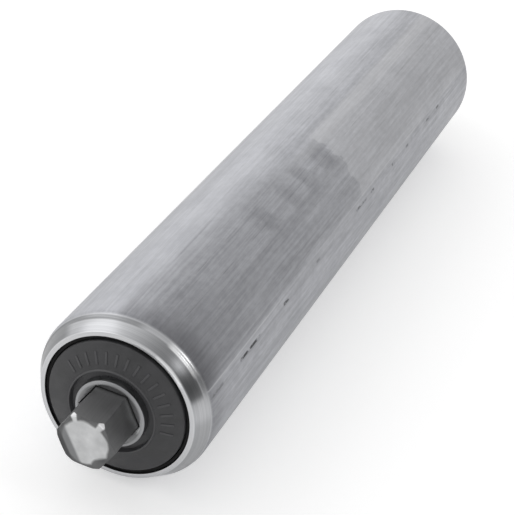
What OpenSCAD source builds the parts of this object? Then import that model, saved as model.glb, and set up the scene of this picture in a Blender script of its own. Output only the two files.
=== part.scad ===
// Spring-loaded gravity conveyor roller: a bare steel tube with curled ends,
// carried on two sealed ball bearings by a hexagonal axle bar.
// The roller's axis lies along Y, its centre is the origin and +Z is up.
// "left" is the end at -Y and "right" is the end at +Y.

/* [Tube] */
// Outside diameter of the tube
tube_od = 38.1; // [37.6:0.1:60]
// Length of the tube over its curled ends
tube_length = 187.3; // [150:0.1:1200]
// Wall thickness of the tube
tube_wall = 1.65; // [1.2:0.05:1.9]
// Wall of the mouth left by the curl that closes each end over its bearing
curl_width = 3.29; // [3.1:0.01:3.5]
// Angle between the curl's cone and the tube
curl_taper = 30; // [26:1:34]
// Radius of the round between the curl's cone and the tube
curl_radius = 3; // [2.4:0.1:4]
// Width of the flat nose of the curl
nose_flat = 0.9; // [0.7:0.05:1.2]
// Depth of the tool mark round the curl, from the end of the tube
mark_offset = 3.1; // [1:0.05:3.2]
// Width of the tool mark
mark_width = 0.6; // [0.3:0.05:1]
// Depth of the tool mark below the curl's cone
mark_depth = 0.05; // [0.02:0.01:0.1]

/* [Axle] */
// Size of the hexagonal bar across its flats
axle_af = 11.11; // [10:0.01:11.3]
// Length of bar outside the tube at each end
axle_reach = 13.05; // [9:0.05:30]
// Width of the dressed bevel at the tip, measured at a flat
tip_bevel = 0.86; // [0.3:0.02:1.5]
// Drop of that bevel where it meets the broken corners
tip_bevel_drop = 0.3; // [0.1:0.02:0.6]
// Depth of the 45 degree break on the bar's six corners
corner_break = 0.47; // [0.2:0.01:0.55]
// Distance from the bar's centre to the rolled edge left by the shear
shear_edge = 2.65; // [2:0.05:4.5]
// Slope of the rolled edge
shear_slope = 5.5; // [3:0.5:12]

/* [Bearings] */
// Bore of the ball bearing
bearing_bore = 15; // [14.8:0.1:16]
// Outside diameter of the ball bearing, which has to fit inside the tube and its housing
bearing_od = 32; // [30.5:0.1:32.4]
// Width of the ball bearing
bearing_width = 9; // [8:0.1:11]
// Diameter of a ball
ball_d = 4.7625; // [4:0.0125:5]
// Balls in each bearing
ball_count = 9; // [7:1:9]
// Distance of the bearing's outer face behind the end of the tube
bearing_inset = 3.6; // [3.4:0.05:6]
// Thickness of a bearing shield
shield_t = 0.4; // [0.25:0.05:0.6]
// Depth of a shield behind the bearing's face
shield_inset = 0.5; // [0.2:0.05:0.7]
// Length of the housing's sleeve behind the bearing
housing_tail = 4.6; // [2:0.1:15]
// Thickness of the shoulder behind the bearing's outer ring
housing_shoulder = 1.8; // [1:0.1:2]
// Wall of the housing in front of the bearing
housing_wall = 1.36; // [1:0.02:1.5]

/* [Hub and cap] */
// How far the hub stands out past the end of the tube
hub_reach = 2.99; // [2.4:0.01:5]
// Width of the bevel round the hub's face
hub_bevel = 0.72; // [0.2:0.02:0.75]
// Drop of the bevel round the hub's face
hub_bevel_drop = 0.25; // [0.1:0.01:0.6]
// Width of the hub's inner flange beyond the bearing bore
hub_flange = 1.5; // [1:0.05:2]
// Thickness of the hub's inner flange
hub_flange_t = 1.3; // [0.8:0.05:3]
// Width of the black seal ring that shows between the tube and the cap
seal_band = 0.94; // [0.8:0.02:1.4]
// Depth of the seal ring's face behind the end of the tube
seal_inset = 0.45; // [0.1:0.05:1]
// How far the domed cap stands out at its step
cap_rise = 1.96; // [1.5:0.02:2.2]
// Radius of the step round the hub
cap_step_r = 9.1; // [8.8:0.05:9.6]
// Depth of the step
cap_step_depth = 1; // [0.4:0.05:1.3]
// Wall thickness of the cap
cap_wall = 1.5; // [1.1:0.05:1.7]
// Plain raised bars moulded on the cap's face
bar_count = 15; // [6:1:24]
// Height of a raised bar
bar_height = 0.12; // [0.05:0.01:0.3]
// Angle round the cap from +X to the middle bar
bar_middle = 71; // [0:1:180]

/* [Spring] */
// Length of the spring in the assembled roller
spring_length = 36; // [30:0.5:50]
// Diameter of the spring wire
spring_wire = 1.2; // [0.8:0.05:1.4]
// Working coils of the spring
spring_coils = 10; // [6:1:12]
// Thickness of the spring's washer
washer_t = 1; // [0.6:0.05:2]
// Thickness of a retaining clip
clip_t = 1; // [0.8:0.05:1.5]
// Radial width of a retaining clip
clip_width = 2.35; // [1.8:0.05:2.6]
// Opening angle of a retaining clip
clip_opening = 60; // [40:1:100]

/* [Fits] */
// Gap at which pressed and clipped pieces are drawn
press_gap = 0.02; // [0.01:0.01:0.05]
// Running gap of the labyrinth seal
seal_gap = 0.14; // [0.1:0.01:0.2]
// Gap between a ball and each raceway
ball_play = 0.05; // [0.02:0.01:0.08]
// Gap between a ball and its cage pocket
pocket_play = 0.1; // [0.05:0.01:0.15]
// Gap between a flat of the axle and a flat of the hub
hex_play = 0.19; // [0.1:0.01:0.25]
// Gap between the axle's corners and what is threaded over them
axle_play = 0.3; // [0.15:0.05:0.5]

/* [Hidden] */

$fn = 96;
SIDES = [-1, 1];
ARC_STEPS = 14;     // straight steps in a short arc of a turned outline
OVER = 1;           // how far a cutting shape runs past what it cuts

// Tube
tube_r = tube_od / 2;
tube_ir = tube_r - tube_wall;
lip_r = tube_r - curl_width;                    // radius of the mouth
nose_r = lip_r + nose_flat;

// Radius of the curl's cone at a depth, and depth at a radius, some way below its surface
function cone_r(z, below = 0) = nose_r + z * tan(curl_taper) - below / cos(curl_taper);
function cone_z(r, below = 0) = (r - nose_r + below / cos(curl_taper)) / tan(curl_taper);

lip_z = cone_z(lip_r, tube_wall);               // depth of the mouth's inner edge
curl_r = tube_r - curl_radius;                  // radius of the round's centre
curl_z = cone_z(tube_r) + curl_radius * tan(curl_taper / 2);   // and its depth
mark_arc_r = (pow(mark_width / 2, 2) + pow(mark_depth, 2)) / (2 * mark_depth);

// Axle
axle_length = tube_length + 2 * axle_reach;
corner_r = axle_af / 2 / cos(30);
tip_r = axle_af / 2 - tip_bevel;
break_r = corner_r - corner_break;
clip_seat_r = (axle_af / 2 + corner_r) / 2;     // cuts the corners and leaves the flats
shear_side = 150;                               // angle of the flat that the shear enters by

// Bearing, along its own axis from the end of the tube inwards
pitch_r = (bearing_bore + bearing_od) / 4;
ball_r = ball_d / 2;
bearing_back = bearing_inset + bearing_width;
ball_z = bearing_inset + bearing_width / 2;
race_conformity = 0.52;                         // raceway radius over ball diameter
race_r = race_conformity * ball_d;
land_share = 0.35;                              // ring lands, in ball diameters from the pitch circle
inner_land_r = pitch_r - land_share * ball_d;
outer_land_r = pitch_r + land_share * ball_d;
shield_seat = 0.6;                              // depth of the shield's seat above the land
shield_r = outer_land_r + shield_seat;
shield_gap = 0.27;                              // running gap of a shield round the inner ring
shield_bore_r = inner_land_r + shield_gap;
ring_edge = 0.4;                                // edge chamfer of the rings
cage_half = 0.85;                               // half the cage's radial thickness
cage_web = 0.55;                                // thickness of the cage behind a pocket
cage_front = 1.3;                               // how far the cage's fingers reach past the balls' centres

// Housing
seat_r = bearing_od / 2 + press_gap;
housing_r = tube_ir - press_gap;
front_bore_r = housing_r - housing_wall;
front_depth = tube_wall + press_gap;            // the housing's nose follows the inside of the curl
housing_front = (cone_z(front_bore_r, front_depth) + bearing_inset) / 2;
shoulder_gap = 0.2;                             // how far the shoulder clears the shield
shoulder_r = shield_r + shoulder_gap;
tail_wall = 1.2;
housing_back = bearing_back + housing_shoulder + housing_tail;
housing_edge = 0.6;

// Cap and hub
cap_r = lip_r - seal_band;
hub_r = bearing_bore / 2;
hub_hex_af = axle_af + 2 * hex_play;
hub_back = bearing_back + hub_flange_t;
hub_edge = 0.3;
cap_bore_r = hub_r + press_gap;
cap_edge = 0.25;                                // bevel at the rim of the cap
rim_wall = 0.78;                                // wall of the cap's rim
cap_rim_r = cap_r - rim_wall;
boss_r = hub_r + hub_flange;
floor_z = cap_step_depth - cap_rise;
dome_run = cap_r - cap_edge - cap_step_r;       // the cap's domed face, from its rim to its step
dome_drop = cap_rise - cap_edge;
dome_slope = atan(dome_drop / dome_run);
dome_bow = 0.12;                                // rise of the dome above its chord

// Labyrinth: the cap's skirt, then the seal ring's rib, then the cap's rim
skirt_offset = 2.2;                             // from the inner ring's land to the skirt
skirt_r = inner_land_r + skirt_offset;
skirt_wall = 0.75;
rib_wall = 0.6;
rib_draft = 0.1;                                // added to the gap between the skirt and the rib
rib_r = skirt_r + seal_gap + rib_draft;
rib_reach = 1.2;                                // how far the rib stands out of the seal ring
flange_t = 0.7;
flange_z = bearing_inset - flange_t;
end_gap = 0.25;                                 // gap at the end of each wall of the labyrinth
lip_gap = 0.1;                                  // gap round the seal ring inside the tube's curl
seal_face_r = lip_r - lip_gap;

// Spring and what holds it, along Y
hub_face_y = tube_length / 2 - hub_back;
spring_gap = 0.2;                               // added round the bar inside the spring
spring_r = corner_r + axle_play + spring_gap + spring_wire / 2;
spring_y = hub_face_y - press_gap - spring_length;
washer_y = spring_y - press_gap - washer_t;
spring_clip_y = washer_y - press_gap - clip_t;
stop_clip_y = -hub_face_y + press_gap;
washer_bore_r = corner_r + axle_play;
washer_rim = 0.4;                               // how far the washer stands out past the spring
washer_r = spring_r + spring_wire / 2 + washer_rim;
clip_bore_r = clip_seat_r + press_gap;
clip_r = clip_bore_r + clip_width;

// Points of an arc in an outline, by its centre, radius and two angles
function arc(x, y, r, from, to, steps = ARC_STEPS) =
    [for (i = [0 : steps]) let (a = from + (to - from) * i / steps)
        [x + r * cos(a), y + r * sin(a)]];

// Turns a revolved shape, drawn inwards from its end of the tube, to that end
module at_end(side) {
    translate([0, side * tube_length / 2, 0])
        rotate([side * 90, 0, 0])
            children();
}

// Turns a shape drawn along Z to lie along +Y from a given place
module along_y(y) {
    translate([0, y, 0])
        rotate([-90, 0, 0])
            children();
}

// Tube ------------------------------------------------------------------

// Everything inside the tube's outer surface at one end, as an outline from its centre
module tube_end_outline() {
    polygon(concat(
        [[0, 0], [nose_r, 0]],
        arc(curl_r, curl_z, curl_radius, -curl_taper, 0),
        [[tube_r, tube_length / 2], [0, tube_length / 2]]
    ));
}

// The hollow at one end, with the mouth left by the curl
module tube_hollow_outline() {
    polygon(concat(
        [[0, -OVER], [lip_r, -OVER], [lip_r, lip_z]],
        arc(curl_r, curl_z, curl_radius - tube_wall, -curl_taper, 0),
        [[tube_ir, tube_length / 2], [0, tube_length / 2]]
    ));
}

module roller_tube() {
    color([0.62, 0.63, 0.64])
    for (side = SIDES)
        at_end(side)
            difference() {
                rotate_extrude() tube_end_outline();
                rotate_extrude() tube_hollow_outline();
                tool_mark();
            }
}

// The shallow round groove that the curling tool leaves
module tool_mark() {
    rotate_extrude()
        translate([cone_r(mark_offset), mark_offset])
            rotate(-curl_taper)
                translate([mark_arc_r - mark_depth, 0])
                    circle(r = mark_arc_r);
}

// Bearing ---------------------------------------------------------------

module raceway(play) {
    translate([pitch_r + play, ball_z])
        circle(r = race_r);
}

module outer_ring() {
    color([0.72, 0.72, 0.73])
    rotate_extrude()
        difference() {
            polygon([
                [shield_r, bearing_inset],
                [bearing_od / 2 - ring_edge, bearing_inset],
                [bearing_od / 2, bearing_inset + ring_edge],
                [bearing_od / 2, bearing_back - ring_edge],
                [bearing_od / 2 - ring_edge, bearing_back],
                [shield_r, bearing_back],
                [shield_r, bearing_back - shield_inset - shield_t],
                [outer_land_r, bearing_back - shield_inset - shield_t],
                [outer_land_r, bearing_inset + shield_inset + shield_t],
                [shield_r, bearing_inset + shield_inset + shield_t],
            ]);
            raceway(ball_r + ball_play - race_r);
        }
}

module inner_ring() {
    color([0.72, 0.72, 0.73])
    rotate_extrude()
        difference() {
            polygon([
                [cap_bore_r, bearing_inset],
                [inner_land_r - ring_edge, bearing_inset],
                [inner_land_r, bearing_inset + ring_edge],
                [inner_land_r, bearing_back - ring_edge],
                [inner_land_r - ring_edge, bearing_back],
                [cap_bore_r, bearing_back],
            ]);
            raceway(race_r - ball_r - ball_play);
        }
}

module shield(z) {
    color([0.55, 0.56, 0.58])
    translate([0, 0, z])
        difference() {
            cylinder(r = shield_r - press_gap, h = shield_t);
            translate([0, 0, -OVER])
                cylinder(r = shield_bore_r, h = shield_t + 2 * OVER);
        }
}

module place_balls() {
    for (i = [0 : ball_count - 1])
        rotate([0, 0, i * 360 / ball_count])
            translate([pitch_r, 0, ball_z])
                children();
}

module balls() {
    color([0.8, 0.8, 0.82])
    place_balls() sphere(r = ball_r);
}

// A one-piece snap cage: a ring behind the balls with fingers between them
module cage() {
    pocket_r = ball_r + pocket_play;
    color([0.85, 0.82, 0.7])
    difference() {
        rotate_extrude()
            translate([pitch_r - cage_half, ball_z - cage_front])
                square([2 * cage_half, cage_front + pocket_r + cage_web]);
        place_balls() sphere(r = pocket_r);
    }
}

// Housing, seal and cap -------------------------------------------------

module bearing_housing() {
    color([0.2, 0.2, 0.21])
    rotate_extrude()
        polygon(concat(
            [[cone_r(housing_front, front_depth), housing_front]],
            arc(curl_r, curl_z, curl_radius - front_depth, -curl_taper, 0),
            [
                [housing_r, housing_back - housing_edge],
                [housing_r - housing_edge, housing_back],
                [housing_r - tail_wall, housing_back],
                [housing_r - tail_wall, bearing_back + housing_shoulder],
                [shoulder_r, bearing_back + housing_shoulder],
                [shoulder_r, bearing_back],
                [seat_r, bearing_back],
                [seat_r, bearing_inset],
                [front_bore_r, bearing_inset],
                [front_bore_r, housing_front],
            ]
        ));
}

// Turns with the tube: a flange against the outer ring, a rib, and the black
// wall that fills the mouth of the tube round the cap
module seal_ring() {
    step_z = housing_front + end_gap;
    flange_r = front_bore_r - press_gap;
    color([0.05, 0.05, 0.05])
    rotate_extrude()
        polygon([
            [rib_r, bearing_inset],
            [rib_r, flange_z - rib_reach],
            [rib_r + rib_wall, flange_z - rib_reach],
            [rib_r + rib_wall, flange_z],
            [cap_r + seal_gap, flange_z],
            [cap_r + seal_gap, seal_inset],
            [seal_face_r, seal_inset],
            [seal_face_r, step_z],
            [flange_r, step_z],
            [flange_r, bearing_inset],
        ]);
}

// A point of the dome, from 0 at the cap's rim to 1 at its step
function dome(t, below = 0) =
    [cap_step_r + dome_run * (1 - t),
     below - cap_edge - dome_drop * t - dome_bow * sin(180 * t)];

module end_cap() {
    color([0.29, 0.29, 0.3]) {
        rotate_extrude()
            polygon(concat(
                [[cap_r, flange_z - end_gap], [cap_r, 0]],
                [for (i = [0 : ARC_STEPS]) dome(i / ARC_STEPS)],
                [
                    [cap_step_r - 0.15, floor_z],
                    [cap_bore_r, floor_z],
                    [cap_bore_r, bearing_inset - press_gap],
                    [boss_r, bearing_inset - press_gap],
                    [boss_r, cap_wall - cap_rise],
                    dome(0.9, cap_wall),
                    [skirt_r - skirt_wall, cap_wall - cap_edge],
                    [skirt_r - skirt_wall, bearing_inset - end_gap],
                    [skirt_r, bearing_inset - end_gap],
                    [skirt_r, cap_wall - cap_edge],
                    [cap_rim_r, cap_wall - cap_edge],
                    [cap_rim_r, flange_z - end_gap],
                ]
            ));
        raised_bars();
    }
}

// Plain bars round part of the cap's face, laid on the dome's slope
module raised_bars() {
    bar_arc = 150;
    bar_length = 2.6;
    bar_width = 0.5;
    bar_root = 0.5;
    middle = dome(0.52);
    for (i = [0 : bar_count - 1])
        rotate([0, 0, bar_arc * (i / (bar_count - 1) - 0.5) - bar_middle])
            translate([middle[0], 0, middle[1]])
                rotate([0, -dome_slope, 0])
                    translate([-bar_length / 2, -bar_width / 2, -bar_height])
                        cube([bar_length, bar_width, bar_height + bar_root]);
}

module hex_hub() {
    color([0.6, 0.6, 0.61])
    difference() {
        rotate_extrude()
            polygon([
                [0, -hub_reach],
                [hub_r - hub_bevel, -hub_reach],
                [hub_r, hub_bevel_drop - hub_reach],
                [hub_r, bearing_back],
                [hub_r + hub_flange, bearing_back],
                [hub_r + hub_flange, hub_back - hub_edge],
                [hub_r + hub_flange - hub_edge, hub_back],
                [0, hub_back],
            ]);
        translate([0, 0, -hub_reach - OVER])
            cylinder(d = hub_hex_af / cos(30), h = hub_reach + hub_back + 2 * OVER, $fn = 6);
    }
}

// Axle ------------------------------------------------------------------

// The round outline that a tip is dressed to, and the clip's seat in the corners
module tip_outline() {
    polygon([
        [0, 0],
        [tip_r, 0],
        [break_r, tip_bevel_drop],
        [corner_r + OVER, tip_bevel_drop + corner_r + OVER - break_r],
        [corner_r + OVER, axle_length / 2],
        [0, axle_length / 2],
    ]);
}

module clip_seat(y) {
    along_y(y - press_gap)
        difference() {
            cylinder(r = corner_r + OVER, h = clip_t + 2 * press_gap);
            translate([0, 0, -OVER])
                cylinder(r = clip_seat_r, h = clip_t + 2 * OVER + 2 * press_gap);
        }
}

// The flat that the shear's blade enters by is rolled over a little
module shear_roll() {
    rotate([0, 0, shear_side])
        translate([shear_edge, 0, 0])
            rotate([0, -shear_slope, 0])
                translate([0, -2 * corner_r, -4 * corner_r])
                    cube(4 * corner_r);
}

module hex_axle() {
    color([0.45, 0.45, 0.46])
    difference() {
        for (side = SIDES)
            translate([0, side * axle_reach, 0])
                at_end(side)
                    difference() {
                        intersection() {
                            cylinder(r = corner_r, h = axle_length / 2, $fn = 6);
                            rotate_extrude() tip_outline();
                        }
                        shear_roll();
                    }
        clip_seat(stop_clip_y);
        clip_seat(spring_clip_y);
    }
}

// A flat ring, open on one side, sprung over the bar into its corner seats
module clip() {
    color([0.35, 0.34, 0.33])
    difference() {
        cylinder(r = clip_r, h = clip_t);
        translate([0, 0, -OVER])
            cylinder(r = clip_bore_r, h = clip_t + 2 * OVER);
        translate([0, 0, -OVER])
            linear_extrude(height = clip_t + 2 * OVER)
                polygon([
                    [0, 0],
                    2 * clip_r * [sin(clip_opening / 2), -cos(clip_opening / 2)],
                    2 * clip_r * [-sin(clip_opening / 2), -cos(clip_opening / 2)],
                ]);
    }
}

module spring_washer() {
    color([0.75, 0.75, 0.72])
    difference() {
        cylinder(r = washer_r, h = washer_t);
        translate([0, 0, -OVER])
            cylinder(r = washer_bore_r, h = washer_t + 2 * OVER);
    }
}

// Height of the wire's centre after so many turns: one closed coil at each end
function spring_height(turn) =
    let (closed = spring_wire * 1.02,
         open = (spring_length - spring_wire - 2 * closed) / spring_coils)
    spring_wire / 2 + (turn < 1 ? closed * turn
        : turn < 1 + spring_coils ? closed + open * (turn - 1)
        : closed + open * spring_coils + closed * (turn - 1 - spring_coils));

module axle_spring() {
    sides = 6;
    steps = 16;
    turns = spring_coils + 2;
    rings = turns * steps;
    wire_r = spring_wire / 2 - press_gap;
    points = [for (i = [0 : rings]) for (k = [0 : sides - 1])
        let (turn = i / steps,
             out = spring_r + wire_r * cos(k * 360 / sides))
        [out * cos(turn * 360), out * sin(turn * 360),
         spring_height(turn) + wire_r * sin(k * 360 / sides)]];
    walls = [for (i = [0 : rings - 1]) for (k = [0 : sides - 1])
        let (a = i * sides + k, b = i * sides + (k + 1) % sides)
        [a, b, b + sides, a + sides]];
    first = [for (k = [sides - 1 : -1 : 0]) k];
    last = [for (k = [0 : sides - 1]) rings * sides + k];
    color([0.5, 0.5, 0.52])
    polyhedron(points, concat(walls, [first, last]));
}

// Drawing ---------------------------------------------------------------

roller_tube();
hex_axle();
along_y(stop_clip_y) clip();  // stop_clip
along_y(spring_clip_y) clip();  // spring_clip
along_y(washer_y) spring_washer();
along_y(spring_y) axle_spring();

for (side = SIDES) {
    end = side < 0 ? "left" : "right";
    outer_z = bearing_inset + shield_inset;
    inner_z = bearing_back - shield_inset - shield_t;
    at_end(side) bearing_housing();
    at_end(side) outer_ring();
    at_end(side) shield(outer_z);
    at_end(side) shield(inner_z);
    at_end(side) seal_ring();
    at_end(side) balls();
    at_end(side) cage();
    at_end(side) inner_ring();
    at_end(side) hex_hub();
    at_end(side) end_cap();
}
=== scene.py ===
import math

import bpy
from mathutils import Euler, Matrix, Vector


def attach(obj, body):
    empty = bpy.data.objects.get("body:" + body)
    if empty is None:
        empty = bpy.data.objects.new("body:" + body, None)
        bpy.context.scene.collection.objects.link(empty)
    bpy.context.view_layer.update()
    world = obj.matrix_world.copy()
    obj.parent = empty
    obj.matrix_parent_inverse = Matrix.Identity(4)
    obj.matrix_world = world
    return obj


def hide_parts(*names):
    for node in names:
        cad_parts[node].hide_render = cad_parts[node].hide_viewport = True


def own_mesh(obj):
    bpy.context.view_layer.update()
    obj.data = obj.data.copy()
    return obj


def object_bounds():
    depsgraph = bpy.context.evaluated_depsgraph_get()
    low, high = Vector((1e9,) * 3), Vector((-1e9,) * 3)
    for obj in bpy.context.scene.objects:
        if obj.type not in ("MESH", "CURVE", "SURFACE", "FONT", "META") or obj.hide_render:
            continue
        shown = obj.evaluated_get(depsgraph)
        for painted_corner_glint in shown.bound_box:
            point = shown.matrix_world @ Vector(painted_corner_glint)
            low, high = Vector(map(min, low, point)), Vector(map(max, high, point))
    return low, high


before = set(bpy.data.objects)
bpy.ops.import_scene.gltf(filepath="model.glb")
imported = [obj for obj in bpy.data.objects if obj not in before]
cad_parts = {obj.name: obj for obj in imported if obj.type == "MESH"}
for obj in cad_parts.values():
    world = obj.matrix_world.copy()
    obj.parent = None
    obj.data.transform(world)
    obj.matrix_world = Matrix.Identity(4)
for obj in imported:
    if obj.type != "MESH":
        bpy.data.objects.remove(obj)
cad_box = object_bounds()
scene = bpy.context.scene
scene.view_settings.view_transform = "Standard"


# Camera, floor and lights --------------------------------------------------
# A long lens looks down at the near end of the roller from its right. The
# roller lies on a pale floor, under a soft sky that is brighter at the left
# and has a dim patch at the right.

camera_lens = 109.91
camera_place = (0.1223, -0.31772, 0.175045)
camera_tilt = math.radians(60.82)
camera_heading = math.radians(22.41)
camera_about_axle = math.radians(-8.95)
floor_size = 6
floor_gap = 0.00002
glow_seen = 0.4
glow_mirrored = 0.22

camera_data = bpy.data.cameras.new("camera")
camera_data.lens = camera_lens
camera_data.sensor_width = 36
camera = bpy.data.objects.new("camera", camera_data)
scene.collection.objects.link(camera)
scene.camera = camera
about_axle = Matrix.Rotation(camera_about_axle, 4, "Y")
looking = Euler((camera_tilt, 0, camera_heading)).to_matrix().to_4x4()
camera.matrix_world = about_axle @ Matrix.Translation(camera_place) @ looking


def add(tree, kind, inputs=None, **settings):
    """Adds a shader node. inputs gives values, or outputs to link, by socket name or number."""
    node = tree.nodes.new(kind)
    for key, value in settings.items():
        setattr(node, key, value)
    for key, value in (inputs or {}).items():
        if isinstance(value, bpy.types.NodeSocket):
            tree.links.new(value, node.inputs[key])
        else:
            node.inputs[key].default_value = value
    return node


def calc(tree, operation, *values):
    """The result of a Math node on numbers or outputs."""
    return add(tree, "ShaderNodeMath", dict(enumerate(values)), operation=operation).outputs[0]


bpy.ops.mesh.primitive_plane_add(size=floor_size, location=(0, 0, cad_box[0].z - floor_gap))
floor = bpy.context.object
floor.name = "floor"
floor_finish = bpy.data.materials.new("pale_floor")
floor_finish.use_nodes = True
tree = floor_finish.node_tree
shader = tree.nodes["Principled BSDF"]
shader.inputs["Base Color"].default_value = (0.8, 0.8, 0.8, 1)
shader.inputs["Roughness"].default_value = 0.9
shader.inputs["Specular IOR Level"].default_value = 0.1
shader.inputs["Emission Color"].default_value = (1, 1, 1, 1)
# A glow makes up for the soft light where the floor is seen, or mirrored in the metal
ray = add(tree, "ShaderNodeLightPath")
seen = calc(tree, "MULTIPLY", ray.outputs["Is Camera Ray"], glow_seen)
mirrored = calc(tree, "MULTIPLY", ray.outputs["Is Glossy Ray"], glow_mirrored)
tree.links.new(calc(tree, "MAXIMUM", seen, mirrored), shader.inputs["Emission Strength"])
floor.data.materials.append(floor_finish)

sky = bpy.data.worlds.new("soft_sky")
scene.world = sky
sky.use_nodes = True
tree = sky.node_tree
direction = add(tree, "ShaderNodeTexCoord").outputs["Generated"]


def toward(place, start, stop, low, high):
    """A level of the sky that runs smoothly from low to high as the direction turns towards a place."""
    dot = add(tree, "ShaderNodeVectorMath", {0: direction, 1: Vector(place).normalized()},
              operation="DOT_PRODUCT").outputs["Value"]
    return add(tree, "ShaderNodeMapRange",
               {"Value": dot, "From Min": start, "From Max": stop, "To Min": low, "To Max": high},
               interpolation_type="SMOOTHSTEP").outputs["Result"]


bright_side = toward((-0.86, 0.42, 0.3), -0.35, 0.8, 0.64, 0.9)
dim_patch = toward((0.94, -0.2, 0.28), 0.84, 0.97, 1.0, 0.24)
level = calc(tree, "MULTIPLY", bright_side, dim_patch)
ray = add(tree, "ShaderNodeLightPath")
strength = calc(tree, "MAXIMUM", level, ray.outputs["Is Camera Ray"])
tree.links.new(strength, tree.nodes["Background"].inputs["Strength"])
tree.nodes["Background"].inputs["Color"].default_value = (1, 1, 1, 1)


def soft_box(name, place, size, power):
    """A square lamp that faces the roller."""
    data = bpy.data.lights.new(name, "AREA")
    data.shape = "SQUARE"
    data.size = size
    data.energy = power
    lamp = bpy.data.objects.new(name, data)
    lamp.location = place
    lamp.rotation_mode = "QUATERNION"
    lamp.rotation_quaternion = (-Vector(place)).to_track_quat("-Z", "Y")
    scene.collection.objects.link(lamp)


soft_box("back_left", (-1.1, 1.35, 0.5), 1.2, 2)
soft_box("left", (-0.77, -0.18, 0.69), 0.7, 1.15)
soft_box("right", (0.74, -0.18, 0.65), 0.22, 0.55)


# Axle bar ------------------------------------------------------------------
# A hexagonal bar of cold-drawn steel through the whole roller, sheared to
# length and dressed round at both tips, with a seat cut in its corners for
# each clip.

bar_flats = 0.01111
bar_corner = bar_flats / 2 / math.cos(math.radians(30))
bar_half = 0.1067
bar_edge = 0.00018
bar_seat = (bar_flats / 2 + bar_corner) / 2
clip_height = 0.001
clip_places = (-0.07973, 0.04169)
fit_gap = 0.00002
tip_radius = bar_flats / 2 - 0.00086
tip_bevel = 0.0003
broken_radius = bar_corner - 0.00047
broken_run = 0.00147
clear_radius = bar_corner + 0.001
roll_from = 0.00265
roll_slope = math.radians(5.5)


def edit(piece, kind, chosen):
    """Goes into edit mode with only the vertices, edges or faces that chosen() picks."""
    bpy.ops.object.select_all(action="DESELECT")
    piece.select_set(True)
    bpy.context.view_layer.objects.active = piece
    bpy.ops.object.mode_set(mode="EDIT")
    bpy.ops.mesh.select_mode(type=kind)
    bpy.ops.mesh.select_all(action="DESELECT")
    bpy.ops.object.mode_set(mode="OBJECT")
    parts = {"VERT": piece.data.vertices, "EDGE": piece.data.edges, "FACE": piece.data.polygons}
    for part in parts[kind]:
        part.select = bool(chosen(part))
    bpy.ops.object.mode_set(mode="EDIT")


def done():
    """Leaves edit mode."""
    bpy.ops.object.mode_set(mode="OBJECT")


def settle(piece):
    """Puts the piece's place and turn into its mesh."""
    bpy.ops.object.select_all(action="DESELECT")
    piece.select_set(True)
    bpy.context.view_layer.objects.active = piece
    bpy.ops.object.transform_apply(location=True, rotation=True, scale=True)


def smooth(piece, angle=30):
    """Shades a piece smooth, except where its faces meet at more than an angle in degrees."""
    bpy.ops.object.select_all(action="DESELECT")
    piece.select_set(True)
    bpy.context.view_layer.objects.active = piece
    bpy.ops.object.shade_smooth_by_angle(angle=math.radians(angle))


def combine(piece, tool, operation):
    """Cuts a piece with a tool, or joins them, and clears the tool away."""
    bpy.context.view_layer.objects.active = piece
    change = piece.modifiers.new(operation.lower(), "BOOLEAN")
    change.object = tool
    change.operation = operation
    change.solver = "EXACT"
    bpy.ops.object.modifier_apply(modifier=change.name)
    bpy.data.objects.remove(tool)


def turn(name, outline, steps=128, closed=True):
    """Turns an outline of (radius, y, rounding) round the roller's axis into a solid."""
    bpy.ops.object.select_all(action="DESELECT")
    start = Vector((outline[0][0], outline[0][1], 0))
    bpy.ops.mesh.primitive_plane_add(size=0.001, location=(0, 0, 0))
    piece = bpy.context.object
    piece.name = name
    edit(piece, "VERT", lambda v: True)
    bpy.ops.mesh.merge(type="CENTER")
    bpy.ops.transform.translate(value=start)
    here = start
    for radius, y, _ in outline[1:]:
        there = Vector((radius, y, 0))
        bpy.ops.mesh.extrude_vertices_move(TRANSFORM_OT_translate={"value": there - here})
        here = there
    if closed:
        bpy.ops.mesh.extrude_vertices_move(TRANSFORM_OT_translate={"value": start - here})
        bpy.ops.mesh.select_all(action="SELECT")
        bpy.ops.mesh.remove_doubles(threshold=1e-7)
    done()
    for rounding in sorted({r for _, _, r in outline if r}):
        corners = [Vector((p[0], p[1], 0)) for p in outline if p[2] == rounding]
        edit(piece, "VERT", lambda v: any((v.co - c).length < 2e-7 for c in corners))
        bpy.ops.mesh.bevel(affect="VERTICES", offset=rounding, segments=4)
        done()
    edit(piece, "VERT", lambda v: True)
    bpy.ops.mesh.spin(steps=steps, angle=2 * math.pi, center=(0, 0, 0), axis=(0, 1, 0))
    bpy.ops.mesh.select_all(action="SELECT")
    bpy.ops.mesh.remove_doubles(threshold=1e-6)
    bpy.ops.mesh.normals_make_consistent(inside=False)
    done()
    return piece


bpy.ops.mesh.primitive_cylinder_add(
    vertices=6, radius=bar_corner, depth=2 * bar_half, rotation=(math.radians(90), math.radians(30), 0))
bar = bpy.context.object
bar.name = "axle_bar"
settle(bar)
edit(bar, "EDGE", lambda e: abs((bar.data.vertices[e.vertices[0]].co
                                 - bar.data.vertices[e.vertices[1]].co).y) > bar_half)
bpy.ops.mesh.bevel(offset=bar_edge, segments=3, affect="EDGES")
done()
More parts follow.
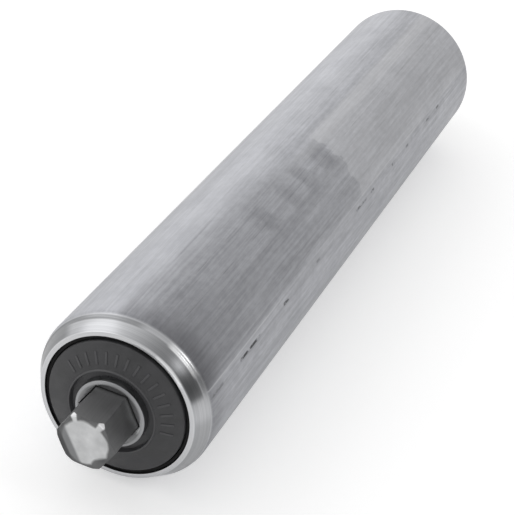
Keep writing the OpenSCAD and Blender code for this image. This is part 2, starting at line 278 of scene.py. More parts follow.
# The tips are dressed to a shallow cone, with the corners broken
dressing = turn("dressing", [
    (0, -bar_half, 0),
    (tip_radius, -bar_half, 0),
    (broken_radius, tip_bevel - bar_half, 0),
    (clear_radius, tip_bevel + broken_run - bar_half, 0),
    (clear_radius, bar_half - tip_bevel - broken_run, 0),
    (broken_radius, bar_half - tip_bevel, 0),
    (tip_radius, bar_half, 0),
    (0, bar_half, 0),
], closed=False)
combine(bar, dressing, "INTERSECT")
for clip_place in clip_places:
    seat_from, seat_to = clip_place - fit_gap, clip_place + clip_height + fit_gap
    seat = turn("seat", [(bar_seat, seat_from, 0), (clear_radius, seat_from, 0),
                         (clear_radius, seat_to, 0), (bar_seat, seat_to, 0)])
    combine(bar, seat, "DIFFERENCE")
# The flat that the shear's blade enters by is rolled over a little
for side in (-1, 1):
    entry = math.radians(180 - side * 30)
    across = Vector((math.cos(entry), 0, math.sin(entry)))
    edit(bar, "FACE", lambda f: True)
    bpy.ops.mesh.bisect(
        plane_co=across * roll_from + Vector((0, side * bar_half, 0)),
        plane_no=across * math.sin(roll_slope) + Vector((0, side * math.cos(roll_slope), 0)),
        use_fill=True, clear_outer=True)
    done()
smooth(bar)


def finish_with(name):
    """A new material, with its node tree and its shader."""
    material = bpy.data.materials.new(name)
    material.use_nodes = True
    tree = material.node_tree
    return material, tree, tree.nodes["Principled BSDF"]


def group(name, wanted, given):
    """A new node group with these number inputs and their defaults, and these number outputs."""
    tree = bpy.data.node_groups.new(name, "ShaderNodeTree")
    for label, value in wanted.items():
        socket = tree.interface.new_socket(label, in_out="INPUT", socket_type="NodeSocketFloat")
        socket.default_value = value
    for label in given:
        tree.interface.new_socket(label, in_out="OUTPUT", socket_type="NodeSocketFloat")
    return tree, tree.nodes.new("NodeGroupInput").outputs, tree.nodes.new("NodeGroupOutput").inputs


def put(tree, made, **values):
    """Places a node group in a material with its own values."""
    node = tree.nodes.new("ShaderNodeGroup")
    node.node_tree = made
    for label, value in values.items():
        node.inputs[label].default_value = value
    return node.outputs


# Drawn grain: lines along the bar or tube, with patches where they are fainter
drawn_grain, wanted, given = group("drawn_grain", {"Across": 2600, "Along": 45, "Patch": 90},
                                   ["Lines", "Patches"])
place = add(drawn_grain, "ShaderNodeTexCoord").outputs["Object"]
xyz = add(drawn_grain, "ShaderNodeSeparateXYZ", {0: place}).outputs
stretched = add(drawn_grain, "ShaderNodeCombineXYZ", {
    "X": calc(drawn_grain, "MULTIPLY", xyz["X"], wanted["Across"]),
    "Y": calc(drawn_grain, "MULTIPLY", xyz["Y"], wanted["Along"]),
    "Z": calc(drawn_grain, "MULTIPLY", xyz["Z"], wanted["Across"])}).outputs[0]
lines = add(drawn_grain, "ShaderNodeTexNoise", {"Vector": stretched, "Scale": 1, "Detail": 4,
                                               "Roughness": 0.6}).outputs["Fac"]
patches = add(drawn_grain, "ShaderNodeTexNoise", {"Vector": place, "Scale": wanted["Patch"],
                                                 "Detail": 3}).outputs["Fac"]
for value, label in ((lines, "Lines"), (patches, "Patches")):
    spread = add(drawn_grain, "ShaderNodeMapRange",
                 {"Value": value, "From Min": 0.3, "From Max": 0.7}).outputs["Result"]
    drawn_grain.links.new(spread, given[label])


def blend_colours(tree, amount, one, other, mode="MIX"):
    """A colour between two colours or outputs, by a number or an output."""
    node = add(tree, "ShaderNodeMix", data_type="RGBA", blend_type=mode)
    for socket, value in ((node.inputs[0], amount), (node.inputs[6], one), (node.inputs[7], other)):
        if isinstance(value, bpy.types.NodeSocket):
            tree.links.new(value, socket)
        else:
            socket.default_value = value
    return node.outputs[2]


def between(tree, value, low, high, to_low=0.0, to_high=1.0):
    """Maps an output smoothly from one range to another."""
    return add(tree, "ShaderNodeMapRange",
               {"Value": value, "From Min": low, "From Max": high, "To Min": to_low, "To Max": to_high},
               interpolation_type="SMOOTHSTEP").outputs["Result"]


def window(value, low, high, soft):
    """1 between low and high, fading to 0 over a soft edge outside them, in the tree at hand."""
    rise = between(tree, value, low - soft, low)
    return calc(tree, "MULTIPLY", rise, between(tree, value, high, high + soft, 1.0, 0.0))


def product(*values):
    """Numbers and outputs multiplied together, in the tree at hand."""
    result = values[0]
    for value in values[1:]:
        result = calc(tree, "MULTIPLY", result, value)
    return result


def relief(tree, shader, height, depth):
    """Bumps the surface by an output, to a depth in metres."""
    bump = add(tree, "ShaderNodeBump", {"Height": height, "Distance": depth, "Strength": 1})
    tree.links.new(bump.outputs[0], shader.inputs["Normal"])


def place_in_mm(tree, axes):
    """Where a point lies along each of these axes, in mm."""
    place = add(tree, "ShaderNodeTexCoord").outputs["Object"]
    xyz = add(tree, "ShaderNodeSeparateXYZ", {0: place}).outputs
    return [calc(tree, "MULTIPLY", xyz[axis], 1000) for axis in axes]


def from_axis(tree, x, z):
    """How far a point lies from the roller's axis."""
    squares = calc(tree, "ADD", calc(tree, "MULTIPLY", x, x), calc(tree, "MULTIPLY", z, z))
    return calc(tree, "SQRT", squares)


def round_axis(tree, x, z):
    """Where a point lies round the roller's axis, in degrees from -180 to 180."""
    return calc(tree, "MULTIPLY", calc(tree, "ARCTAN2", z, x), 180 / math.pi)


bar_steel, tree, shader = finish_with("bar_steel")
shader.inputs["Metallic"].default_value = 0.85
grain = put(tree, drawn_grain, Across=3200, Along=60, Patch=300)
x, y, z = place_in_mm(tree, "XYZ")
radius = from_axis(tree, x, z)
angle = round_axis(tree, x, z)
depth = calc(tree, "SUBTRACT", bar_half * 1000, calc(tree, "ABSOLUTE", y))
# How far a point lies towards the rolled flat, which is another flat at the other tip
rolled = product(z, math.sin(math.radians(30)), calc(tree, "SIGN", y))
rolled = calc(tree, "SUBTRACT", rolled, product(x, math.cos(math.radians(30))))
# How deep the tip's own faces lie: its bevel, its broken corners, its rolled side
bevel = product(calc(tree, "SUBTRACT", radius, 4.7), 0.24)
broken = calc(tree, "MAXIMUM", calc(tree, "SUBTRACT", radius, 5.65), 0)
rolled_side = product(calc(tree, "SUBTRACT", rolled, roll_from * 1000), math.tan(roll_slope))
face = calc(tree, "MAXIMUM", calc(tree, "MAXIMUM", bevel, broken), rolled_side)
at_tip = between(tree, calc(tree, "SUBTRACT", depth, face), 0.05, 0.12, 1.0, 0.0)
tone = blend_colours(tree, grain["Lines"], (0.155, 0.156, 0.158, 1), (0.175, 0.176, 0.178, 1))
# Painted light: the flats are made paler further in from the tip, against the shade and dark reflection
# of the cap near the hub
tone = blend_colours(tree, between(tree, depth, 1, 9, 0, 0.12), tone, (0.6, 0.6, 0.61, 1))
# The end face's own tone, on which painted shade and painted glints are laid below
tip_tone_and_painted_light = blend_colours(tree, grain["Patches"], (0.49, 0.495, 0.5, 1), (0.7, 0.705, 0.71, 1))
painted_bevel_shade = blend_colours(tree, grain["Patches"], (0.1, 0.101, 0.103, 1), (0.18, 0.181, 0.183, 1))
uneven = product(grain["Patches"], 0.5)
# The bevel ring is painted dark as painted shade, except at two of the corners, which stay bright
painted_glint_corners = calc(tree, "MAXIMUM", window(angle, 56, 64, 5), window(angle, 117, 123, 5))
ring = between(tree, calc(tree, "ADD", radius, uneven), 4.8, 5.5)
ring = product(ring, calc(tree, "SUBTRACT", 1, painted_glint_corners))
# Painted shade darkens one side of the tip, within a circle whose middle lies beyond it, for the
# shading of a dent there
on_tip = add(tree, "ShaderNodeCombineXYZ", {0: x, 1: z}).outputs[0]
dent_shade_distance = add(tree, "ShaderNodeVectorMath", {0: on_tip, 1: (6.14, -5.72, 0)}, operation="DISTANCE")
dent_painted_shade = between(tree, calc(tree, "SUBTRACT", dent_shade_distance.outputs["Value"], uneven), 3.8, 4.5, 1.0, 0.0)
# Painted shade: the rolled side is painted mid grey on its facet, the bevel ring and the dent dark, and
# the rolled edge darker still
tip_tone_and_painted_light = blend_colours(tree, between(tree, rolled, 2.4, 3.2), tip_tone_and_painted_light, (0.24, 0.243, 0.247, 1))
tip_tone_and_painted_light = blend_colours(tree, calc(tree, "MAXIMUM", ring, dent_painted_shade), tip_tone_and_painted_light, painted_bevel_shade)
tip_tone_and_painted_light = blend_colours(tree, between(tree, rolled, 4.2, 4.8), tip_tone_and_painted_light, (0.09, 0.09, 0.092, 1))
# Painted glints on the two bright corners
painted_corner_glint = product(between(tree, radius, 5.5, 5.8), painted_glint_corners)
tip_tone_and_painted_light = blend_colours(tree, painted_corner_glint, tip_tone_and_painted_light, (0.85, 0.85, 0.86, 1))
tree.links.new(blend_colours(tree, at_tip, tone, tip_tone_and_painted_light), shader.inputs["Base Color"])
tree.links.new(between(tree, grain["Patches"], 0, 1, 0.34, 0.44), shader.inputs["Roughness"])
relief(tree, shader, grain["Lines"], 0.000002)
bar.data.materials.append(bar_steel)
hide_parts("hex_axle")
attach(bar, "axle")


# Clips, washer and spring --------------------------------------------------
# Two dark flat clips snapped into the bar's seats, a zinc-plated washer and
# a compression spring of drawn wire, closed at both ends. The spring pushes
# the roller against the clip at the other end.

spring_wire = 0.0006
spring_play = 0.0005
spring_coil = bar_corner + spring_play + spring_wire
spring_from = 0.04373
spring_length = 0.036
closed_coil = 2 * spring_wire * 1.02
open_coils = 10
steps_per_turn = 40

# A closed turn at each end, and the open turns between them
coils = [(spring_from + spring_wire, closed_coil, 1),
         (spring_from + spring_wire + closed_coil,
          spring_length - 2 * spring_wire - 2 * closed_coil, open_coils),
         (spring_from + spring_length - spring_wire - closed_coil, closed_coil, 1)]
wound = []
for low, rise, turns in coils:
    bpy.ops.object.select_all(action="DESELECT")
    bpy.ops.mesh.primitive_circle_add(vertices=16, radius=spring_wire - fit_gap,
                                      location=(spring_coil, low, 0))
    coil = bpy.context.object
    settle(coil)
    winding = coil.modifiers.new("winding", "SCREW")
    winding.axis = "Y"
    winding.angle = 2 * math.pi * turns
    winding.screw_offset = rise
    winding.steps = winding.render_steps = steps_per_turn * turns
    winding.use_merge_vertices = False
    bpy.ops.object.modifier_apply(modifier=winding.name)
    wound.append(coil)
bpy.ops.object.select_all(action="DESELECT")
for coil in wound:
    coil.select_set(True)
spring = wound[0]
bpy.context.view_layer.objects.active = spring
bpy.ops.object.join()
spring.name = "coil_spring"
edit(spring, "VERT", lambda v: True)
bpy.ops.mesh.remove_doubles(threshold=2e-6)
bpy.ops.mesh.select_all(action="DESELECT")
bpy.ops.mesh.select_non_manifold()
bpy.ops.mesh.edge_face_add()
bpy.ops.mesh.select_all(action="SELECT")
bpy.ops.mesh.fill_holes(sides=0)
bpy.ops.mesh.normals_make_consistent(inside=False)
done()
smooth(spring, 50)

spring_steel, tree, shader = finish_with("spring_steel")
shader.inputs["Metallic"].default_value = 1
grain = put(tree, drawn_grain, Across=900, Along=900, Patch=300)
tree.links.new(blend_colours(tree, grain["Patches"], (0.2, 0.2, 0.21, 1), (0.32, 0.32, 0.33, 1)),
               shader.inputs["Base Color"])
tree.links.new(between(tree, grain["Lines"], 0, 1, 0.3, 0.46), shader.inputs["Roughness"])
relief(tree, shader, grain["Lines"], 0.000008)
spring.data.materials.append(spring_steel)
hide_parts("axle_spring")
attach(spring, "axle")
# The slide of 13 mm leaves 23 mm of the spring's 36 mm
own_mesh(spring)

zinc_steel, tree, shader = finish_with("zinc_steel")
shader.inputs["Metallic"].default_value = 1
grain = put(tree, drawn_grain, Across=1400, Along=1400, Patch=700)
tree.links.new(blend_colours(tree, grain["Patches"], (0.5, 0.51, 0.53, 1), (0.66, 0.67, 0.69, 1)),
               shader.inputs["Base Color"])
tree.links.new(between(tree, grain["Patches"], 0, 1, 0.28, 0.44), shader.inputs["Roughness"])
relief(tree, shader, grain["Lines"], 0.000006)


def dress(names, material):
    """Gives these CAD nodes a finish."""
    for name in names:
        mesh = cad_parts[name].data
        mesh.materials.clear()
        mesh.materials.append(material)


dress(["stop_clip", "spring_clip"], spring_steel)
dress(["spring_washer"], zinc_steel)


# Hubs ----------------------------------------------------------------------
# A turned steel hub through each bearing, with a hexagonal hole that slides
# on the bar and a flange behind the inner ring. Its face is bevelled.

end_of_tube = 0.09365
hub_radius = 0.0075
hub_out = 0.00299
hub_in = 0.0139
hub_core = 0.0045
hub_bevel_width = 0.00072
hub_bevel_depth = 0.00025
flange_depth = 0.0126
flange_width = 0.0015
flange_chamfer = 0.0003
hub_play = 0.00019
hub_hole = (bar_flats / 2 + hub_play) / math.cos(math.radians(30))
hole_chamfer = 0.00015
hole_length = 0.03
hole_middle = 0.088


def at_end(side, outline):
    """An outline of (radius, depth from the end of the tube, rounding), placed at one end."""
    return [(radius, side * (end_of_tube - depth), rounding) for radius, depth, rounding in outline]


# Turned marks: fine rings round the axis, and softer patches across them
turned_marks, wanted, given = group("turned_marks", {"Rings": 5200, "Patch": 300}, ["Lines", "Patches"])
place = add(turned_marks, "ShaderNodeTexCoord").outputs["Object"]
xyz = add(turned_marks, "ShaderNodeSeparateXYZ", {0: place}).outputs
radius = from_axis(turned_marks, xyz["X"], xyz["Z"])
ringed = add(turned_marks, "ShaderNodeCombineXYZ", {
    "X": calc(turned_marks, "MULTIPLY", radius, wanted["Rings"]),
    "Y": calc(turned_marks, "MULTIPLY", xyz["Y"], wanted["Rings"])}).outputs[0]
lines = add(turned_marks, "ShaderNodeTexNoise", {"Vector": ringed, "Scale": 1,
                                                "Detail": 3}).outputs["Fac"]
patches = add(turned_marks, "ShaderNodeTexNoise", {"Vector": place, "Scale": wanted["Patch"],
                                                  "Detail": 3}).outputs["Fac"]
for value, label in ((lines, "Lines"), (patches, "Patches")):
    turned_marks.links.new(between(turned_marks, value, 0.3, 0.7), given[label])

hub_steel, tree, shader = finish_with("hub_steel")
shader.inputs["Metallic"].default_value = 1
marks = put(tree, turned_marks, Rings=5200, Patch=420)
tone = blend_colours(tree, marks["Patches"], (0.17, 0.172, 0.175, 1), (0.26, 0.262, 0.266, 1))
tone = blend_colours(tree, product(marks["Lines"], 0.2), tone, (0.3, 0.3, 0.305, 1))
# The bevel is painted pale all round as a painted highlight, and the flat face inside it is painted
# paler on one side as painted light against the bar's shadow
x, z = place_in_mm(tree, "XZ")
radius = from_axis(tree, x, z)
painted_light_by_bar = product(between(tree, radius, 6.65, 6.95, 1.0, 0.0),
                window(round_axis(tree, x, z), -8, 48, 14), 0.9)
tone = blend_colours(tree, painted_light_by_bar, tone, (0.46, 0.464, 0.47, 1))
painted_highlight = between(tree, radius, 6.75, 7.1)
tree.links.new(blend_colours(tree, painted_highlight, tone, (0.36, 0.364, 0.372, 1)), shader.inputs["Base Color"])
tree.links.new(between(tree, marks["Patches"], 0, 1, 0.26, 0.4), shader.inputs["Roughness"])
relief(tree, shader, marks["Lines"], 0.000004)

for side, end in ((-1, "left"), (1, "right")):
    hub = turn("hub_" + end, at_end(side, [
        (hub_core, -hub_out, 0),
        (hub_radius - hub_bevel_width, -hub_out, 0.00008),
        (hub_radius, hub_bevel_depth - hub_out, 0.00008),
        (hub_radius, flange_depth, 0.00005),
        (hub_radius + flange_width, flange_depth, 0.00012),
        (hub_radius + flange_width, hub_in - flange_chamfer, 0.00008),
        (hub_radius + flange_width - flange_chamfer, hub_in, 0.00008),
        (hub_core, hub_in, 0),
    ]), steps=160)
    bpy.ops.object.select_all(action="DESELECT")
    bpy.ops.mesh.primitive_cylinder_add(
        vertices=6, radius=hub_hole, depth=hole_length, location=(0, side * hole_middle, 0),
        rotation=(math.radians(90), math.radians(30), 0))
    hole = bpy.context.object
    settle(hole)
    combine(hub, hole, "DIFFERENCE")
    # The hole's outer mouth is chamfered
    edge_y = side * (end_of_tube + hub_out)
    edit(hub, "EDGE", lambda e: all(
        abs(hub.data.vertices[i].co.y - edge_y) < 1e-6
        and math.hypot(hub.data.vertices[i].co.x, hub.data.vertices[i].co.z) < hub_hole + 1e-5
        for i in e.vertices))
    bpy.ops.mesh.bevel(offset=hole_chamfer, segments=2, affect="EDGES")
    done()
    smooth(hub)
    hub.data.materials.append(hub_steel)
    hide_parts("hex_hub_" + end)
    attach(hub, "bearing_cores")


# Bearings ------------------------------------------------------------------
# A ground ball bearing of hard steel in each end: two rings, nine polished
# balls in a snapped nylon cage, and a plated shield on each side.

bearing_steel, tree, shader = finish_with("bearing_steel")
shader.inputs["Metallic"].default_value = 1
marks = put(tree, turned_marks, Rings=9000, Patch=200)
tree.links.new(blend_colours(tree, marks["Patches"], (0.5, 0.5, 0.51, 1), (0.6, 0.6, 0.61, 1)),
               shader.inputs["Base Color"])
tree.links.new(between(tree, marks["Lines"], 0, 1, 0.14, 0.26), shader.inputs["Roughness"])
relief(tree, shader, marks["Lines"], 0.000002)

ball_steel, tree, shader = finish_with("ball_steel")
shader.inputs["Metallic"].default_value = 1
grain = put(tree, drawn_grain, Across=1500, Along=1500, Patch=500)
tree.links.new(blend_colours(tree, grain["Patches"], (0.62, 0.62, 0.63, 1), (0.7, 0.7, 0.71, 1)),
               shader.inputs["Base Color"])
tree.links.new(between(tree, grain["Lines"], 0, 1, 0.05, 0.1), shader.inputs["Roughness"])

# Moulded grain: a fine even texture, and soft patches where it is rubbed
moulded_grain, wanted, given = group("moulded_grain", {"Fine": 9000, "Patch": 160}, ["Grain", "Rubbed"])
place = add(moulded_grain, "ShaderNodeTexCoord").outputs["Object"]
for label, source, detail in (("Grain", "Fine", 2), ("Rubbed", "Patch", 4)):
    noise = add(moulded_grain, "ShaderNodeTexNoise", {"Vector": place, "Scale": wanted[source],
                                                     "Detail": detail}).outputs["Fac"]
    moulded_grain.links.new(between(moulded_grain, noise, 0.32, 0.68), given[label])

cage_polymer, tree, shader = finish_with("cage_polymer")
moulded = put(tree, moulded_grain, Fine=7000, Patch=220)
tree.links.new(blend_colours(tree, moulded["Rubbed"], (0.66, 0.61, 0.46, 1), (0.76, 0.72, 0.58, 1)),
               shader.inputs["Base Color"])
tree.links.new(between(tree, moulded["Rubbed"], 0, 1, 0.4, 0.55), shader.inputs["Roughness"])
shader.inputs["Subsurface Weight"].default_value = 0.1
shader.inputs["Subsurface Scale"].default_value = 0.002
relief(tree, shader, moulded["Grain"], 0.00001)

black_polymer, tree, shader = finish_with("black_polymer")
moulded = put(tree, moulded_grain, Fine=6000, Patch=180)
tone = blend_colours(tree, moulded["Rubbed"], (0.003, 0.003, 0.0032, 1), (0.007, 0.007, 0.0075, 1))
tree.links.new(tone, shader.inputs["Base Color"])
tree.links.new(between(tree, moulded["Rubbed"], 0, 1, 0.55, 0.7), shader.inputs["Roughness"])
shader.inputs["Specular IOR Level"].default_value = 0.2
relief(tree, shader, moulded["Grain"], 0.000012)

for end in ("left", "right"):
    dress(["inner_ring_" + end, "outer_ring_" + end], bearing_steel)
    dress(["balls_" + end], ball_steel)
    dress(["cage_" + end], cage_polymer)
    dress(["outer_shield_" + end, "inner_shield_" + end], zinc_steel)
    dress(["bearing_housing_" + end], black_polymer)


# Seal rings ----------------------------------------------------------------
# A black moulded ring in the mouth of the tube, which turns with it. Its rib
# runs between the skirt and the rim of the cap and keeps dirt out.

tube_radius = 0.01905
curl_width = 0.00329
lip_radius = tube_radius - curl_width
cap_radius = lip_radius - 0.00094
seal_outside = lip_radius - 0.0001
seal_mouth = cap_radius + 0.00014
seal_rim = 0.016
seal_front = 0.00045
seal_web = 0.0029
seal_step = 0.00317
seal_back = 0.0036
rib_inside = 0.012523
rib_wall = 0.0006
rib_front = 0.0017

for side, end in ((-1, "left"), (1, "right")):
    seal = turn("seal_" + end, at_end(side, [
        (rib_inside, seal_back, 0),
        (rib_inside, rib_front, 0.0001),
        (rib_inside + rib_wall, rib_front, 0.0001),
        (rib_inside + rib_wall, seal_web, 0.0001),
        (seal_mouth, seal_web, 0.00005),
        (seal_mouth, seal_front, 0.00015),
        (seal_outside, seal_front, 0.00012),
        (seal_outside, seal_step, 0.00005),
        (seal_rim, seal_step, 0.00008),
        (seal_rim, seal_back, 0.00008),
    ]), steps=192)
    smooth(seal)
    seal.data.materials.append(black_polymer)
    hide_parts("seal_ring_" + end)
    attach(seal, "roller")


# End caps ------------------------------------------------------------------
# A dark grey moulded cap pressed on each hub, domed, with a fine ridge at
# its step and a sunk ring round the hub. It stands still and carries a row of
# plain raised bars.

cap_step = 0.0091
cap_rise = 0.00196
cap_edge = 0.00025
dome_run = cap_radius - cap_edge - cap_step
dome_drop = cap_rise - cap_edge
dome_swell = 0.00012
ridge_height = 0.0002
sunk_depth = 0.001
dome_wall = 0.0015
boss_radius = hub_radius + 0.0015
boss_end = 0.00358
skirt_inside, skirt_outside = 0.011533, 0.012283
skirt_end = 0.00335
rim_inside = cap_radius - 0.00078
rim_end = 0.00265
web_depth = 0.00125
bars_in_row = 15
row_sweep = 150
row_middle = -71
row_place = 0.52
raised_size = (0.0026, 0.0005, 0.00062)
raised_edge = 0.00007
raised_middle = 0.00019


def dome(share, below=0.0):
    """A point of the domed face, from 0 at its rim to 1 at its step, or some way below it."""
    return (cap_step + dome_run * (1 - share),
            below - cap_edge - dome_drop * share - dome_swell * math.sin(math.pi * share), 0)


grey_polymer, tree, shader = finish_with("grey_polymer")
moulded = put(tree, moulded_grain, Fine=5200, Patch=210)
marks = put(tree, turned_marks, Rings=900, Patch=500)
tone = blend_colours(tree, moulded["Rubbed"], (0.037, 0.037, 0.039, 1), (0.053, 0.053, 0.056, 1))
tone = blend_colours(tree, product(marks["Patches"], 0.3), tone, (0.068, 0.068, 0.071, 1))
# What stands proud of the dome, the bars and the ridge, is made paler, which on the ridge is a painted
# highlight; the sunk ring is made paler as painted light against the shade in it
x, y, z = place_in_mm(tree, "XYZ")
radius = from_axis(tree, x, z)
share = calc(tree, "SUBTRACT", (cap_radius - cap_edge) * 1000, radius)
share = calc(tree, "DIVIDE", share, dome_run * 1000)
swell = product(calc(tree, "SINE", product(share, math.pi)), dome_swell * 1000)
domed = calc(tree, "ADD", product(share, dome_drop * 1000), swell)
proud = calc(tree, "SUBTRACT", calc(tree, "ABSOLUTE", y), (end_of_tube + cap_edge) * 1000)
proud_and_painted_light = between(tree, calc(tree, "SUBTRACT", proud, domed), 0.06, 0.11, 0.0, 0.5)
proud_and_painted_light = calc(tree, "MAXIMUM", proud_and_painted_light, between(tree, radius, 9.1, 9.18, 0.45, 0.0))
tree.links.new(blend_colours(tree, proud_and_painted_light, tone, (0.1, 0.1, 0.105, 1)), shader.inputs["Base Color"])
tree.links.new(between(tree, moulded["Rubbed"], 0, 1, 0.42, 0.6), shader.inputs["Roughness"])
relief(tree, shader, moulded["Grain"], 0.000014)

# One raised bar, which is copied to each place in the row. Its own Z runs
# inwards, and its middle lies below the dome, so that 0.12 mm stands proud
bpy.ops.object.select_all(action="DESELECT")
bpy.ops.mesh.primitive_cube_add(size=1)
raised = bpy.context.object
raised.scale = raised_size
bpy.ops.object.transform_apply(location=False, rotation=False, scale=True)
edit(raised, "EDGE", lambda e: all(raised.data.vertices[k].co.z < 0 for k in e.vertices))
bpy.ops.mesh.bevel(offset=raised_edge, segments=2, affect="EDGES")
done()

row_slope = math.atan(dome_drop / dome_run)
for side, end in ((-1, "left"), (1, "right")):
    cap = turn("cap_" + end, at_end(side, [
        (cap_radius, rim_end, 0),
        (cap_radius, 0, 0.00015),
        *[dome(i / 10) for i in range(9)],
        (cap_step + 0.00044, dome(0.92)[1], 0),
        (cap_step + 0.00026, -cap_rise - ridge_height, 0.00008),
        (cap_step + 0.00004, -cap_rise - ridge_height, 0.00008),
        (cap_step - 0.00015, sunk_depth - cap_rise, 0.0001),
        (hub_radius + fit_gap, sunk_depth - cap_rise, 0.00006),
        (hub_radius + fit_gap, boss_end, 0),
        (boss_radius, boss_end, 0),
        (boss_radius, dome_wall - cap_rise, 0),
        dome(0.9, dome_wall),
        (skirt_inside, web_depth, 0),
        (skirt_inside, skirt_end, 0),
        (skirt_outside, skirt_end, 0),
        (skirt_outside, web_depth, 0),
        (rim_inside, web_depth, 0),
        (rim_inside, rim_end, 0),
    ]), steps=192)
    row_radius, row_depth, _ = dome(row_place)
    inwards = Matrix.Rotation(math.radians(side * 90), 4, "X")
    row = []
    for i in range(bars_in_row):
        placed = raised.copy()
        placed.data = raised.data.copy()
        scene.collection.objects.link(placed)
        turned = math.radians(row_sweep * (i / (bars_in_row - 1) - 0.5) + row_middle)
        placed.matrix_world = (
            Matrix.Translation((0, side * end_of_tube, 0)) @ inwards @ Matrix.Rotation(turned, 4, "Z")
            @ Matrix.Translation((row_radius, 0, row_depth)) @ Matrix.Rotation(-row_slope, 4, "Y")
            @ Matrix.Translation((0, 0, raised_middle)))
        settle(placed)
        row.append(placed)
    bpy.ops.object.select_all(action="DESELECT")
    for placed in row:
        placed.select_set(True)
    bpy.context.view_layer.objects.active = row[0]
    bpy.ops.object.join()
    combine(cap, row[0], "UNION")
    smooth(cap)
    cap.data.materials.append(grey_polymer)
    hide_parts("end_cap_" + end)
    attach(cap, "bearing_cores")
bpy.data.objects.remove(raised)


# Tube ----------------------------------------------------------------------
# Drawn and welded steel tube, oiled and a little scuffed. A rolling tool has
# curled each end inwards over the seal ring to a cone with a flat nose, and
# has burnished it and left a fine line near its shoulder.

tube_wall = 0.00165
curl_taper = 30
curl_round = 0.003
nose_width = 0.0009
nose_radius = lip_radius + nose_width


def cone_depth(radius, below=0.0):
    """Depth at which the curl's cone has a radius, some way below its surface."""
    taper = math.radians(curl_taper)
    return (radius - nose_radius + below / math.cos(taper)) / math.tan(taper)


def curve(radius, depth, round_by, start, stop, steps):
    """Points of an arc in an outline, by its centre, radius and two angles."""
    turns = [math.radians(start + (stop - start) * i / steps) for i in range(steps + 1)]
    return [(radius + round_by * math.cos(a), depth + round_by * math.sin(a), 0) for a in turns]


curl_centre = tube_radius - curl_round
curl_depth = cone_depth(tube_radius) + curl_round * math.tan(math.radians(curl_taper / 2))
# The fine line is a shallow arc sunk in the cone, given by half its width, its
# depth and how far in from the end it lies
mark_half, mark_deep, mark_at = 0.0003, 0.00005, 0.0031
mark_round = (mark_half ** 2 + mark_deep ** 2) / (2 * mark_deep)
mark_turn = math.degrees(math.asin(mark_half / mark_round))
mark_radius = nose_radius + mark_at * math.tan(math.radians(curl_taper))
outer = ([(lip_radius, 0, 0.0001), (nose_radius, 0, 0.00018)]
         + curve(mark_radius + (mark_round - mark_deep) * math.cos(math.radians(curl_taper)),
                 mark_at - (mark_round - mark_deep) * math.sin(math.radians(curl_taper)), mark_round,
                 180 - curl_taper + mark_turn, 180 - curl_taper - mark_turn, 8)
         + curve(curl_centre, curl_depth, curl_round, -curl_taper, 0, 14))
inner = ([(lip_radius, cone_depth(lip_radius, tube_wall), 0.00008)]
         + curve(curl_centre, curl_depth, curl_round - tube_wall, -curl_taper, 0, 8))
left, right = at_end(-1, outer), at_end(1, outer)
left_in, right_in = at_end(-1, inner), at_end(1, inner)
tube = turn("roller_shell", left + right[::-1] + right_in + left_in[::-1], steps=256)
smooth(tube, 25)

bare_steel, tree, shader = finish_with("bare_steel")
shader.inputs["Metallic"].default_value = 1
x, y, z = place_in_mm(tree, "XYZ")
angle = round_axis(tree, x, z)
from_end = calc(tree, "SUBTRACT", end_of_tube * 1000, calc(tree, "ABSOLUTE", y))
fine = put(tree, drawn_grain, Across=2600, Along=22, Patch=120)
broad = put(tree, drawn_grain, Across=420, Along=14, Patch=45)
ragged = put(tree, drawn_grain, Across=900, Along=420, Patch=420)
streaks = put(tree, drawn_grain, Across=1500, Along=55, Patch=60)
marks = put(tree, turned_marks, Rings=3800, Patch=160)

tone = blend_colours(tree, fine["Lines"], (0.4, 0.405, 0.431, 1), (0.49, 0.495, 0.522, 1))
tone = blend_colours(tree, product(broad["Lines"], 0.3), tone, (0.38, 0.385, 0.41, 1))
tone = blend_colours(tree, product(broad["Patches"], 0.2), tone, (0.52, 0.525, 0.55, 1))
mottled = product(between(tree, streaks["Lines"], 0, 1, 0.9, 1.1),
                  between(tree, broad["Lines"], 0, 1, 0.92, 1.08),
                  between(tree, ragged["Lines"], 0, 1, 0.94, 1.06))
tone = blend_colours(tree, between(tree, angle, 80, 105, 1.0, 0.6), tone, mottled, "MULTIPLY")

# Where a hand or a cloth has left oil, the tube is darker, and a band along one side is painted darker
# as
# painted shade: most next to the curl, less along it, and with a sharp edge in the middle of its length
wavy = product(calc(tree, "SUBTRACT", ragged["Patches"], 0.5), 2.2)
wavy_angle = calc(tree, "ADD", angle, product(wavy, 2))
painted_shade_side = product(between(tree, angle, 24, 30), between(tree, wavy_angle, 72, 90, 1.0, 0.0))
oil_end = between(tree, calc(tree, "ADD", y, wavy), -0.4, 0.6, 1.0, 0.0)
oil_near = between(tree, y, -91, -58, 0.36, 0.17)
oil_far = between(tree, y, -58, 0, 1.0, 0.45)
oil_and_painted_shade = product(painted_shade_side, oil_end, oil_near, oil_far, between(tree, broad["Patches"], 0, 1, 0.75, 1.15))
film = product(window(angle, 86, 93, 13), between(tree, y, -50, -5, 0.17, 0.0))
by_curl = product(window(angle, -20, 92, 14), between(tree, y, -89, -81, 0.26, 0.0))
oil_and_painted_shade = calc(tree, "ADD", oil_and_painted_shade, calc(tree, "ADD", film, by_curl))
for middle, width, amount in ((-39, 1.2, 0.16), (-25.6, 0.8, 0.15), (-15.6, 1, 0.2), (-4.7, 1.4, 0.18)):
    smudge = product(window(calc(tree, "ADD", y, wavy), middle - width, middle + width, 3.5),
                     window(angle, 63, 75, 9),
                     between(tree, streaks["Patches"], 0, 1, 0.6, 1.3), amount)
    oil_and_painted_shade = calc(tree, "ADD", oil_and_painted_shade, smudge)
tone = blend_colours(tree, oil_and_painted_shade, tone, (0.06, 0.06, 0.066, 1))

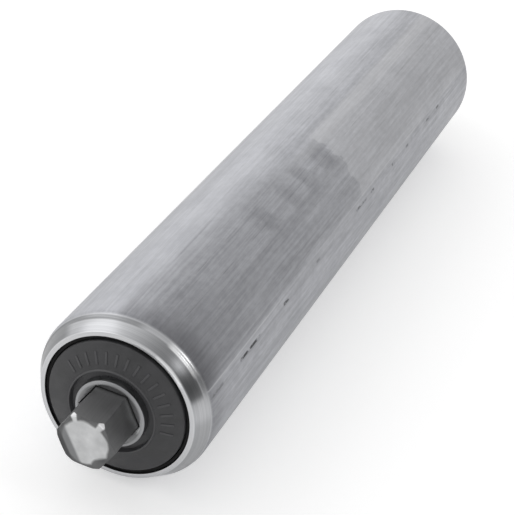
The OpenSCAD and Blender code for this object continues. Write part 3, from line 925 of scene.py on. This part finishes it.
# Fine drawing lines, and scuffs along the weld seam
for at, width, first, last, amount in ((67.2, 0.22, -88, 93, 0.22), (51.4, 0.2, 13, 90, 0.2),
                                       (80, 0.25, -70, -44, 0.25), (96.8, 0.4, -88, 93, 0.12)):
    line = product(window(angle, at - width, at + width, 0.25), window(y, first, last, 3),
                   between(tree, fine["Patches"], 0.2, 0.7), amount)
    tone = blend_colours(tree, line, tone, (0.1, 0.1, 0.105, 1))
bright = product(window(angle, 26.1, 26.6, 0.4), between(tree, broad["Lines"], 0.2, 0.8), 0.35)
# Past the oil's edge the steel is cleaner, with a paler band
wiped = product(window(angle, 28, 84, 4), calc(tree, "SUBTRACT", 1, oil_end), 0.22)
pale = product(window(angle, 77, 82, 4), between(tree, y, -30, 5), 0.14)
bright = calc(tree, "ADD", bright, calc(tree, "ADD", wiped, pale))
tone = blend_colours(tree, bright, tone, (0.7, 0.7, 0.71, 1))
for first, last, amount in ((-88.5, -84.1, 0.35), (-74.6, -65.1, 0.9), (-51.2, -49.2, 0.8),
                            (-31.5, -30, 0.35), (-4.7, 1.6, 0.6), (6, 7.3, 0.6), (22, 23.2, 0.6),
                            (33.4, 34.5, 0.5), (51, 53, 0.5), (60, 61.3, 0.6)):
    scuff = product(window(angle, 20.9, 22.1, 0.7), window(y, first, last, 0.8),
                    between(tree, ragged["Lines"], 0.25, 0.5), amount)
    tone = blend_colours(tree, scuff, tone, (0.035, 0.035, 0.037, 1))

# The curl is burnished, with oil and painted shade on one side of its cone and painted darker patches
# round it as painted reflection, and it has painted highlights on its nose and in two patches
curl = between(tree, from_end, 3.4, 4.2, 1.0, 0.0)
burnished_and_painted_light = blend_colours(tree, marks["Lines"], (0.47, 0.475, 0.49, 1), (0.56, 0.565, 0.58, 1))
cone_oil_and_painted_shade = product(window(from_end, 0.5, 2.6, 0.35), between(tree, angle, 22, 28),
               between(tree, angle, 55, 95, 1.0, 0.0))
for first, last, near, far, amount in ((140, 168, 0.5, 3.4, 0.85), (-40, 4, 0.5, 3.4, 0.4),
                                       (88, 160, 2.8, 3.4, 0.75)):
    painted_dark_patch = product(window(angle, first, last, 10), window(from_end, near, far, 0.35), amount)
    cone_oil_and_painted_shade = calc(tree, "MAXIMUM", cone_oil_and_painted_shade, painted_dark_patch)
burnished_and_painted_light = blend_colours(tree, product(cone_oil_and_painted_shade, 0.7), burnished_and_painted_light, (0.12, 0.122, 0.126, 1))
painted_highlight = product(between(tree, from_end, 0.1, 0.3, 1.0, 0.0),
                 between(tree, window(angle, 42, 62, 6), 0, 1, 0.35, 1))
for first, last, near, far in ((42, 60, 2.7, 3.5), (-62, -53, 0.5, 4)):
    painted_highlight_patch = product(window(angle, first, last, 6), window(from_end, near, far, 0.3))
    painted_highlight = calc(tree, "MAXIMUM", painted_highlight, painted_highlight_patch)
burnished_and_painted_light = blend_colours(tree, painted_highlight, burnished_and_painted_light, (0.86, 0.865, 0.875, 1))
tone = blend_colours(tree, curl, tone, burnished_and_painted_light)
tree.links.new(tone, shader.inputs["Base Color"])
rough = between(tree, fine["Patches"], 0, 1, 0.42, 0.5)
tree.links.new(add(tree, "ShaderNodeMix", {0: curl, 2: rough, 3: 0.3}).outputs[0],
               shader.inputs["Roughness"])
height = add(tree, "ShaderNodeMix", {0: curl, 2: fine["Lines"], 3: marks["Lines"]}).outputs[0]
relief(tree, shader, height, 0.000003)
tube.data.materials.append(bare_steel)
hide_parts("roller_tube")
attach(tube, "roller")
